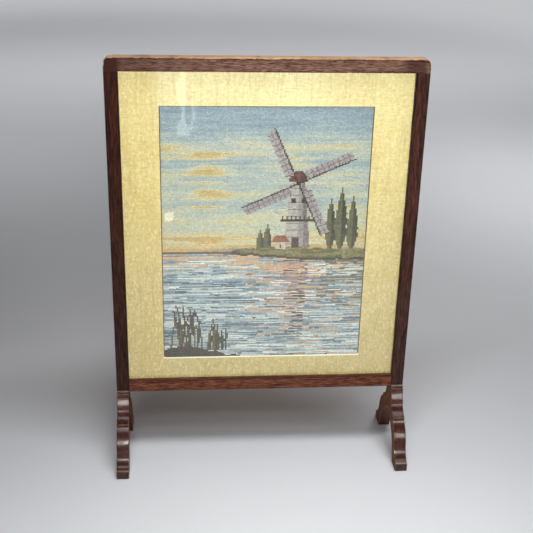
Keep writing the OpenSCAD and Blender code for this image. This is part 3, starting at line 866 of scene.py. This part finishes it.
    # reflections: broken dashes under the mill and the trees, thinner further down
    dash2 = cloudField(rows, cols, 1.0, 5, 141)
    deep = (r - 128) / 70
    under = (np.abs(c - axis) < 9 - 3 * deep) & (deep > 0) & (deep < 1)
    paint(under & (dash2 > 0.36 + 0.42 * deep), (146, 134, 136), 10, 142)
    paint(under & (dash2 > 0.62 + 0.3 * deep) & (c > axis), (98, 84, 82), 8, 143)
    trees = np.clip((c - 104) / 10, 0, 1) * np.clip(0.8 - deep, 0, 1) * (deep > 0)
    paint(dashField(rows, cols, 7, 144) < 0.5 * trees, (112, 112, 92), 10, 145)
    warm = np.exp(-(((c - 86) / 22) ** 2)) * np.clip(1.2 - deep, 0, 1) * (deep > 0.03)
    paint(dashField(rows, cols, 7, 146) < 0.42 * warm, (206, 160, 128), 12, 147)
    ripple = (r > 150) & (c < 112) & (cloudField(rows, cols, 1.0, 9, 148) > 0.93)
    paint(ripple, (92, 98, 98), 8, 149)
    black = under & (dashField(rows, cols, 6, 161) > 0.84 + 0.1 * deep)
    paint(black, (50, 42, 36), 6, 162)

    # rushes in the lower left: leaning blades with brown heads
    blades = np.random.default_rng(150)
    for number in range(40):
        start = blades.uniform(4, 44)
        height = blades.uniform(14, 50) * (1 - abs(start - 18) / 44)
        lean = blades.uniform(-0.16, 0.2)
        up = (212 - r) / height
        stem = (np.abs(c - start - lean * (212 - r) * (0.4 + up * 0.6)) < 0.55) & (up > 0) & (up < 1)
        paint(stem, (56, 56, 32) if number % 3 else (98, 82, 46), 10, 151 + number)
        paint(stem & (up > 0.86) & (number % 2 == 0), (66, 42, 32), 6, 181 + number)
    mud = r > 218 - 11.0 * np.exp(-(((c - 16) / 22) ** 2)) + 1.4 * wander(c[0], 4.0, 75)[None]
    paint(mud, (54, 47, 32), 12, 215)

    picture += rng.normal(0, 8.5, (rows, cols))[..., None]
    return (np.clip(picture, 0, 255) / 255) ** 2.2


# Wool on canvas: each stitch's own colour, a little uneven, with painted shade in the valleys between rows
def woolMaterial():
    made, tree, shader, out, place = newMaterial("wool", {"IOR": 1.4, "Sheen Weight": 0.15, "Sheen Roughness": 0.5})
    colour = addNode(tree, "ShaderNodeAttribute", attribute_name="stitchColour").outputs["Color"]
    hairs = noiseOf(tree, place, 1.0, 3.0, 0.6, (700.0, 700.0, 1800.0))
    dusty = useGroup(tree, blotches, {"Vector": place, "Scale": 9.0, "Amount": 1.0})
    colour = mixColour(tree, rangeOf(tree, hairs, 0.4, 0.7, 0.0, 0.12), colour, tone(120, 108, 92), "MIX")
    # painted shade in the low valleys between stitches
    valleyShade = rangeOf(tree, readValue(tree, "relief"), 0.6, 0.0, 0.0, 0.5)
    colour = mixColour(tree, valleyShade, colour, tone(70, 62, 52))
    colour = mixColour(tree, sumUp(tree, "MULTIPLY", dusty["Mask"], 0.05), colour, tone(190, 180, 150))
    rough = rangeOf(tree, hairs, 0.3, 0.7, 0.82, 0.95)
    feed(tree, shader, colour, rough, hairs, 0.3, 0.0004)
    return made


# Every stitch is a low hip: four low corners, its left and right edges' middles half up and its
# centre up, so that a row reads as yarn. The border is bare canvas, with the back closed behind.
def makeNeedlework():
    m = mount
    rows = stitch["rows"]
    cols = stitch["cols"]
    x = np.linspace(-m["half"], m["half"], cols + 1)
    z = np.linspace(m["low"], m["top"], rows + 1)
    low = stitch["low"]
    rise = low - stitch["high"]
    rng = np.random.default_rng(77)
    cx, cz = np.meshgrid(x, z)
    corner = np.stack([cx, np.full_like(cx, low), cz], 2).reshape(-1, 3)
    mx, mz = np.meshgrid((x[1:] + x[:-1]) / 2, (z[1:] + z[:-1]) / 2)
    lift = rise * rng.uniform(0.75, 1.0, mx.shape)
    centre = np.stack([mx, low - lift, mz], 2).reshape(-1, 3)
    ex, ez = np.meshgrid(x, (z[1:] + z[:-1]) / 2)
    halfUp = np.full_like(ex, low - rise * 0.5)
    halfUp[:, 0] = low
    halfUp[:, -1] = low
    middle = np.stack([ex, halfUp, ez], 2).reshape(-1, 3)
    nCorner = len(corner)
    nCentre = len(centre)
    i = np.arange(rows)[:, None]
    j = np.arange(cols)[None]
    c00 = i * (cols + 1) + j
    c10 = c00 + 1
    c01 = c00 + cols + 1
    c11 = c01 + 1
    mid = nCorner + i * cols + j
    left = nCorner + nCentre + i * (cols + 1) + j
    right = left + 1
    tris = np.stack([
        np.stack([c00, c10, mid], 2), np.stack([c10, right, mid], 2), np.stack([right, c11, mid], 2),
        np.stack([c11, c01, mid], 2), np.stack([c01, left, mid], 2), np.stack([left, c00, mid], 2),
    ], 2)
    faces = tris.reshape(-1, 3).tolist()
    o = [m["outHalf"], m["outLow"], m["outTop"]]
    rim = np.array([[-o[0], low, o[1]], [o[0], low, o[1]], [o[0], low, o[2]], [-o[0], low, o[2]]])
    behind = rim + (0, stitch["back"] - low, 0)
    points = np.concatenate([corner, centre, middle, rim, behind])
    base = nCorner + nCentre + len(middle)
    downSide = list(range(0, cols + 1))
    upSide = list(range(rows * (cols + 1), (rows + 1) * (cols + 1)))
    leftEdge = np.stack([np.arange(rows + 1) * (cols + 1), np.append(nCorner + nCentre + np.arange(rows) * (cols + 1), -1)], 1)
    leftEdge = leftEdge.ravel()[:-1].tolist()
    rightEdge = np.stack([np.arange(rows + 1) * (cols + 1) + cols,
                          np.append(nCorner + nCentre + np.arange(rows) * (cols + 1) + cols, -1)], 1)
    rightEdge = rightEdge.ravel()[:-1].tolist()
    faces.append([base, base + 1] + downSide[::-1])
    faces.append([base + 1, base + 2] + rightEdge[::-1])
    faces.append([base + 2, base + 3] + upSide)
    faces.append([base + 3, base] + leftEdge)
    for k in range(4):
        n = (k + 1) % 4
        faces.append([base + k, base + 4 + k, base + 4 + n, base + n])
    faces.append([base + 7, base + 6, base + 5, base + 4])
    mesh = bpy.data.meshes.new("needleworkSheet")
    mesh.from_pydata((points * mm).tolist(), [], faces)
    relief = np.concatenate([np.zeros(nCorner), lift.ravel() / rise, np.full(len(middle), 0.5), np.zeros(8)])
    mesh.attributes.new("relief", "FLOAT", "POINT").data.foreach_set("value", relief.astype(np.float32))
    picture = stitchPicture()[::-1].reshape(-1, 3)
    canvas = np.array(tone(206, 190, 156)[:3])
    colours = np.ones((len(mesh.loops), 4), np.float32)
    colours[: len(picture) * 18, :3] = np.repeat(picture, 18, 0)
    colours[len(picture) * 18:, :3] = canvas
    mesh.attributes.new("stitchColour", "FLOAT_COLOR", "CORNER").data.foreach_set("color", colours.ravel())
    mesh.materials.append(woolMaterial())
    piece = bpy.data.objects.new("needleworkSheet", mesh)
    bpy.context.scene.collection.objects.link(piece)
    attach(piece, "screen")
    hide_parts("needlework")


makeNeedlework()
print("stage: needlework made")


# Old glass: slightly green, with slow waves in its surface, and open to the lamps' shadow rays
def glassMaterial():
    made, tree, shader, out, place = newMaterial("oldGlass", {
        "Base Color": (0.97, 0.99, 0.98, 1), "Metallic": 0.0, "Transmission Weight": 1.0, "IOR": 1.5, "Roughness": 0.02,
    })
    waves = noiseOf(tree, place, 1.0, 2.0, 0.5, (22.0, 22.0, 9.0))
    feed(tree, shader, height=waves, strength=0.24, distance=0.0012)
    clear = addNode(tree, "ShaderNodeBsdfTransparent", {"Color": (0.93, 0.96, 0.95, 1)})
    path = addNode(tree, "ShaderNodeLightPath")
    mix = addNode(tree, "ShaderNodeMixShader", {0: path.outputs["Is Shadow Ray"]})
    tree.links.new(shader.outputs[0], mix.inputs[1])
    tree.links.new(clear.outputs[0], mix.inputs[2])
    tree.links.new(mix.outputs[0], out.inputs["Surface"])
    return made


# Turned or plain pale wood: the grain group with light values
def paleTimber(name, dark, mid, light, turn, coarse, rough, stain):
    made, tree, shader, out, place = newMaterial(name, {"IOR": 1.45})
    along = addNode(tree, "ShaderNodeMapping", {"Vector": place, "Rotation": turn}).outputs[0]
    grain = useGroup(tree, timberGrain, {
        "Vector": along, "Dark": dark, "Mid": mid, "Light": light, "Coarseness": coarse, "Streaks": 0.4, "Pores": 0.22,
    })
    aged = useGroup(tree, blotches, {"Vector": place, "Scale": 7.0, "Amount": 1.0})
    spots = useGroup(tree, specks, {"Vector": place, "Scale": 30.0, "Size": 0.05, "Amount": 0.6})["Mask"]
    colour = mixColour(tree, sumUp(tree, "MULTIPLY", aged["Mask"], 0.4), grain["Color"], stain)
    colour = mixColour(tree, spots, colour, stain)
    roughness = rangeOf(tree, aged["Mask"], 0.0, 1.0, rough, rough + 0.12)
    feed(tree, shader, colour, roughness, grain["Height"], 0.25, 0.0005)
    return made


# Metal: a warm or grey base with tarnish in blotches and fine brushing
def agedMetal(name, clean, tarnished, rough):
    made, tree, shader, out, place = newMaterial(name, {"Metallic": 1.0})
    film = useGroup(tree, blotches, {"Vector": place, "Scale": 170.0, "Amount": 1.0})
    brushed = noiseOf(tree, place, 1.0, 3.0, 0.6, (5200.0, 5200.0, 700.0))
    colour = mixColour(tree, film["Mask"], clean, tarnished)
    roughness = rangeOf(tree, film["Mask"], 0.0, 1.0, rough, rough + 0.25)
    feed(tree, shader, colour, roughness, brushed, 0.15, 0.0002)
    return made


# Grey pulp card with short fibres
def pulpCard():
    made, tree, shader, out, place = newMaterial("pulpCard", {"IOR": 1.4})
    fibre = noiseOf(tree, place, 1.0, 4.0, 0.65, (700.0, 700.0, 260.0))
    aged = useGroup(tree, blotches, {"Vector": place, "Scale": 12.0, "Amount": 1.0})
    colour = mixColour(tree, rangeOf(tree, fibre, 0.35, 0.65), tone(150, 134, 108), tone(178, 164, 138))
    colour = mixColour(tree, sumUp(tree, "MULTIPLY", aged["Mask"], 0.4), colour, tone(140, 118, 88))
    feed(tree, shader, colour, rangeOf(tree, aged["Mask"], 0, 1, 0.8, 0.92), fibre, 0.3, 0.0004)
    return made


def finishNode(node, material):
    mesh = frame["nodes"][node].data
    mesh.materials.clear()
    mesh.materials.append(material)


brass = agedMetal("agedBrass", (0.62, 0.44, 0.18, 1), (0.24, 0.16, 0.07, 1), 0.3)
finishNode("glass_pane", glassMaterial())
finishNode("back_board", paleTimber("plywood", tone(132, 96, 62), tone(168, 130, 90), tone(192, 156, 114),
                                    upright, 0.45, 0.55, tone(98, 70, 46)))
finishNode("lacing_board", pulpCard())
beech = paleTimber("beechDowel", tone(176, 138, 98), tone(200, 164, 124), tone(220, 188, 150), upright, 1.2, 0.6,
                   tone(150, 112, 78))
finishNode("top_rail_dowels", beech)
finishNode("bottom_rail_dowels", beech)
finishNode("foot_screws", agedMetal("steel", (0.42, 0.42, 0.43, 1), (0.16, 0.12, 0.1, 1), 0.35))


button = {"screwR": 5.0, "arm": 2.5, "tipR": 3.25, "tipX": 14.75, "hole": 1.48, "thick": 1.6, "low": 11.3, "ease": 0.35}
places = {
    "left_lower_button": (-243.25, 266.5, 0), "left_upper_button": (-243.25, 556.5, 0),
    "right_lower_button": (243.25, 266.5, 180), "right_upper_button": (243.25, 556.5, 180),
    "top_button": (0.0, 691.25, -90), "bottom_button": (0.0, 131.75, 90),
}


# A plate seen from its screw: the furthest of screw circle, arm and tip circle at each angle is
# its reach, and a closed profile from the hole to that reach and back is carried round
def makeButton(name, x, z, degrees):
    b = button
    a = np.radians(np.concatenate([np.arange(0, 13, 1.0), [12.72, 12.76], np.arange(14, 34, 2.0), np.arange(34, 181, 6.0)]))
    a = np.sort(a)
    a = np.concatenate([a, -a[1:-1][::-1] if abs(a[-1] - np.pi) < 1e-6 else -a[1:][::-1]])
    across = np.abs(np.sin(a))
    ahead = np.cos(a)
    square = np.where(ahead > 0, np.minimum(b["arm"] / np.maximum(across, 1e-6), b["tipX"] / np.maximum(ahead, 1e-6)), 0)
    inTip = b["tipR"] ** 2 - (b["tipX"] * across) ** 2
    tip = np.where((inTip > 0) & (ahead > 0), b["tipX"] * ahead + np.sqrt(np.maximum(inTip, 0)), 0)
    reach = np.maximum(b["screwR"], np.maximum(square, tip))
    e = b["ease"]
    t = b["thick"]
    turn = np.radians([0, 30, 60, 90])
    profile = [(0, 0, e * 0.4), (0, 0, t - e * 0.4), (0, e * 0.4, t)]
    profile += [(1, -e - 0.4, t)] + [(1, -e + e * math.sin(q), t - e + e * math.cos(q)) for q in turn]
    profile += [(1, -e + e * math.cos(q), e - e * math.sin(q)) for q in turn] + [(1, -e - 0.4, 0), (0, e * 0.4, 0)]
    profile = np.array(profile)
    radius = b["hole"] + profile[:, :1] * (reach[None] - b["hole"]) + profile[:, 1:2]
    height = np.broadcast_to(profile[:, 2:3], radius.shape)
    tilt = math.radians(degrees)
    u = radius * np.cos(a)[None]
    v = radius * np.sin(a)[None]
    points = np.stack([x + u * math.cos(tilt) - v * math.sin(tilt), b["low"] + height,
                       z + u * math.sin(tilt) + v * math.cos(tilt)], 2)
    rings, count = radius.shape
    i = np.arange(rings)[:, None] * count
    n = ((np.arange(rings) + 1) % rings)[:, None] * count
    j = np.arange(count)[None]
    k = (j + 1) % count
    faces = np.stack([i + j, i + k, n + k, n + j], 2).reshape(-1, 4).tolist()
    placeMesh(name.replace("_button", "") + "_turn_plate", points, faces, brass, name, [name], sharp=35,
              merge=0.004)


screw = {"headR": 3.0, "headH": 2.0, "slot": 0.45, "cut": 0.85, "low": 13.2, "shankR": 1.4, "foot": 0.0}


# A slotted round head: height is a ball cap over x and y, and inside the slot never more than
# headH - cut. Stations in x stand close on both sides of the slot; y runs across each one.
def makeScrewHeads():
    s = screw
    ball = (s["headR"] ** 2 + s["headH"] ** 2) / (2 * s["headH"])
    dome = s["headR"] * np.sin(np.radians(np.linspace(16, 89.5, 9)))
    right = np.concatenate([[0, s["slot"], s["slot"] + 0.01], dome])
    xs = np.concatenate([-right[:0:-1], right])
    ts = np.sin(np.radians(np.linspace(-90, 90, 15)))
    gx = np.repeat(xs[:, None], len(ts), 1)
    gy = ts[None] * np.sqrt(np.maximum(s["headR"] ** 2 - gx**2, 0))
    dome = np.sqrt(np.maximum(ball**2 - gx**2 - gy**2, 0)) - ball + s["headH"]
    dome = np.maximum(dome, 0.02)
    dome = np.where(np.abs(gx) <= s["slot"] + 1e-6, np.minimum(dome, s["headH"] - s["cut"]), dome)
    rows, cols = gx.shape
    i = np.arange(rows - 1)[:, None] * cols
    j = np.arange(cols - 1)[None]
    top = np.stack([i + j, i + cols + j, i + cols + j + 1, i + j + 1], 2).reshape(-1, 4)
    faces = []
    allPoints = []
    count = 0
    ring = np.radians(np.arange(0, 360, 20))
    for x, z, degrees in places.values():
        tilt = math.radians(degrees * 0.7 + x + 20)
        ux = gx * math.cos(tilt) - gy * math.sin(tilt)
        uz = gx * math.sin(tilt) + gy * math.cos(tilt)
        upper = np.stack([x + ux, s["low"] + dome, z + uz], 2).reshape(-1, 3)
        under = np.stack([x + ux, s["low"] + 0 * dome, z + uz], 2).reshape(-1, 3)
        n = len(upper)
        edge = np.concatenate([np.arange(cols), np.arange(1, rows) * cols + cols - 1,
                               (rows - 1) * cols + np.arange(cols - 2, -1, -1), np.arange(rows - 2, 0, -1) * cols])
        nextEdge = np.roll(edge, -1)
        skirt = np.stack([edge, nextEdge, nextEdge + n, edge + n], 1)
        faces += (top + count).tolist() + (top[:, ::-1] + n + count).tolist() + (skirt + count).tolist()
        allPoints += [upper, under]
        count += 2 * n
        shank = [np.stack([x + s["shankR"] * np.cos(ring), 0 * ring + y, z + s["shankR"] * np.sin(ring)], 1)
                 for y in (s["foot"], s["low"] + 0.5)]
        m = len(ring)
        allPoints += shank
        wall = np.stack([np.arange(m), (np.arange(m) + 1) % m, (np.arange(m) + 1) % m + m, np.arange(m) + m], 1)
        faces += (wall + count).tolist()
        faces += [list(range(count, count + m))[::-1], list(range(count + m, count + 2 * m))]
        count += 2 * m
    placeMesh("roundScrewHeads", np.concatenate(allPoints), faces, brass, "screen", ["button_screws"],
              sharp=30, merge=0.004)


for name, (x, z, degrees) in places.items():
    makeButton(name, x, z, degrees)
makeScrewHeads()
print("stage: buttons and screws made")


stage = {"reach": 24, "middle": (0, 2.2, 0), "narrow": (2.0, 1, 1), "fadeFrom": 3.0, "fadeTo": 6.0,
         "horizon": 0.55, "tint": (0.95, 0.97, 1.0)}


# A plain pale paper floor, slightly uneven in tone: noise between two near whites. Where the length
# of (place - middle) * narrow passes fadeFrom, its colour goes over to the horizon's own light,
# horizon * tint, as a curved backdrop would.
def makeStage():
    g = stage
    mesh = bpy.data.meshes.new("floor")
    r = g["reach"]
    mesh.from_pydata([(-r, -r, 0), (r, -r, 0), (r, r, 0), (-r, r, 0)], [], [(0, 1, 2, 3)])
    made, tree, shader, out, place = newMaterial("palePaper", {"Roughness": 0.9, "Specular IOR Level": 0.0,
                                                               "Emission Strength": 1.0})
    soft = noiseOf(tree, place, 3.0, 2.0)
    beside = addNode(tree, "ShaderNodeVectorMath", {0: place, 1: g["middle"]}, operation="SUBTRACT").outputs[0]
    scaled = addNode(tree, "ShaderNodeVectorMath", {0: beside, 1: g["narrow"]}, operation="MULTIPLY").outputs[0]
    away = addNode(tree, "ShaderNodeVectorMath", {0: scaled}, operation="LENGTH").outputs["Value"]
    gone = rangeOf(tree, away, g["fadeFrom"], g["fadeTo"])
    black = (0.0, 0.0, 0.0, 1)
    glow = tuple(g["horizon"] * c for c in g["tint"]) + (1,)
    paper = mixColour(tree, soft, tone(240, 242, 246), tone(236, 238, 242))
    feed(tree, shader, mixColour(tree, gone, paper, black))
    tree.links.new(mixColour(tree, gone, black, glow), shader.inputs["Emission Color"])
    mesh.materials.append(made)
    floor = bpy.data.objects.new("floor", mesh)
    bpy.context.scene.collection.objects.link(floor)
    return floor


# A soft box that looks at a point. With only, a collection, it is flagged off everything else;
# a box that isn't mirrored gives no highlights, and one that is bare gives nothing but highlights.
def softBox(name, place, target, width, height, power, spread=180, only=None, mirrored=True, bare=False):
    lamp = bpy.data.lights.new(name, "AREA")
    lamp.shape = "RECTANGLE"
    lamp.size = width
    lamp.size_y = height
    lamp.energy = power
    lamp.spread = math.radians(spread)
    made = bpy.data.objects.new(name, lamp)
    made.location = place
    aim = np.array(target, float) - np.array(place, float)
    made.rotation_mode = "QUATERNION"
    made.rotation_quaternion = Vector(aim).to_track_quat("-Z", "Y")
    made.visible_camera = False
    made.visible_glossy = mirrored
    made.visible_diffuse = not bare
    if only:
        made.light_linking.receiver_collection = only
    bpy.context.scene.collection.objects.link(made)


view = {"place": (-0.1295, -1.4425, 0.9634), "yaw": 5.299, "pitch": 22.883, "roll": -1.450, "lens": 63.86}


# The camera's own axes: right, up and back from yaw, pitch and roll
def makeCamera():
    v = view
    yaw, pitch, roll = (math.radians(v[k]) for k in ("yaw", "pitch", "roll"))
    ahead = np.array([math.sin(yaw) * math.cos(pitch), math.cos(yaw) * math.cos(pitch), -math.sin(pitch)])
    right = np.array([math.cos(yaw), -math.sin(yaw), 0.0])
    down = -np.cross(right, ahead)
    right2 = math.cos(roll) * right + math.sin(roll) * down
    down2 = -math.sin(roll) * right + math.cos(roll) * down
    turned = Matrix(np.stack([right2, -down2, -ahead], 1).tolist())
    data = bpy.data.cameras.new("photoView")
    data.lens = v["lens"]
    data.sensor_width = 36
    data.clip_start = 0.05
    data.clip_end = 60
    made = bpy.data.objects.new("photoView", data)
    made.location = v["place"]
    made.rotation_mode = "QUATERNION"
    made.rotation_quaternion = turned.to_quaternion()
    bpy.context.scene.collection.objects.link(made)
    bpy.context.scene.camera = made


screen = bpy.data.collections.new("screenOnly")
for made in bpy.data.objects:
    if made.type == "MESH":
        screen.objects.link(made)
paper = bpy.data.collections.new("paperOnly")
paper.objects.link(makeStage())
softBox("frontBox", (0.0, -2.4, 0.5), (0.0, 0.0, 0.62), 0.7, 0.3, 1.56, 32, screen, mirrored=False)
softBox("topBox", (0.12, -0.5, 1.8), (0.02, -0.25, 0.0), 1.2, 0.3, 2.4, 100, screen)
softBox("crownBox", (0.15, 0.25, 1.9), (0.1, 0.02, 0.7), 0.9, 0.2, 0.9, 50, screen)
softBox("varnishBox", (0.2, -2.4, 1.15), (0.0, 0.0, 0.05), 1.3, 0.16, 0.85, 16, screen, bare=True)
softBox("backBox", (-0.45, 2.4, 0.55), (0.0, 0.0, 0.45), 0.6, 0.4, 1.5, 32, screen)
softBox("leftSideBox", (-2.4, -0.25, 0.5), (-0.2, 0.0, 0.36), 0.5, 0.6, 0.45, 28, screen)
softBox("rightSideBox", (2.4, 0.25, 0.6), (0.2, 0.0, 0.4), 0.5, 0.6, 0.45, 28, screen)
softBox("floorKey", (0.12, -0.5, 1.8), (0.02, -0.25, 0.0), 1.2, 0.14, 5.4, 100, paper)
softBox("floorLow", (0.08, -2.4, 1.15), (0.02, 0.0, 0.72), 0.7, 0.3, 0.96, 36, paper)
softBox("floorFront", (0.15, -1.0, 1.6), (0.08, -0.3, 0.0), 1.2, 0.3, 0.55, 60, paper)
softBox("floorNear", (0.2, -1.5, 1.5), (0.12, -0.75, 0.0), 1.4, 0.3, 2.2, 50, paper)
softBox("middleBoxRight", (1.3, 1.4, 2.0), (1.1, 1.3, 0.0), 1.2, 0.8, 4.0, 70, paper)
softBox("middleBoxLeft", (-1.0, 1.7, 2.0), (-0.9, 1.6, 0.0), 0.9, 0.7, 1.0, 66, paper)
softBox("farBox", (0.0, 3.4, 2.6), (0.0, 3.0, 0.0), 5.0, 1.0, 13.7, 84, paper)
softBox("backdropBox", (1.0, 7.0, 3.6), (0.8, 6.0, 0.0), 9.0, 4.0, 70, 90, paper)
softBox("frontFloorBox", (0.1, -2.7, 1.6), (0.1, -2.69, 0.0), 3.0, 1.6, 5, 60, paper)
softBox("gleam", (-0.125, -2.0, 0.17), (-0.125, 0.0, 0.17), 0.042, 0.26, 0.06)
softBox("patch", (-0.174, -0.87, 0.13), (-0.16, 0.0, 0.42), 0.018, 0.02, 0.0035)
world = bpy.data.worlds.new("room")
world.use_nodes = True
sky = world.node_tree
seen = addNode(sky, "ShaderNodeLightPath").outputs["Is Camera Ray"]
strength = rangeOf(sky, seen, 0.0, 1.0, 0.03, stage["horizon"])  # as pale as the far floor to the camera
sky.nodes["Background"].inputs["Color"].default_value = stage["tint"] + (1,)
sky.links.new(strength, sky.nodes["Background"].inputs["Strength"])
bpy.context.scene.world = world
bpy.context.scene.view_settings.view_transform = "Standard"
bpy.context.scene.view_settings.look = "None"
makeCamera()
print("stage: floor, light and camera ready")
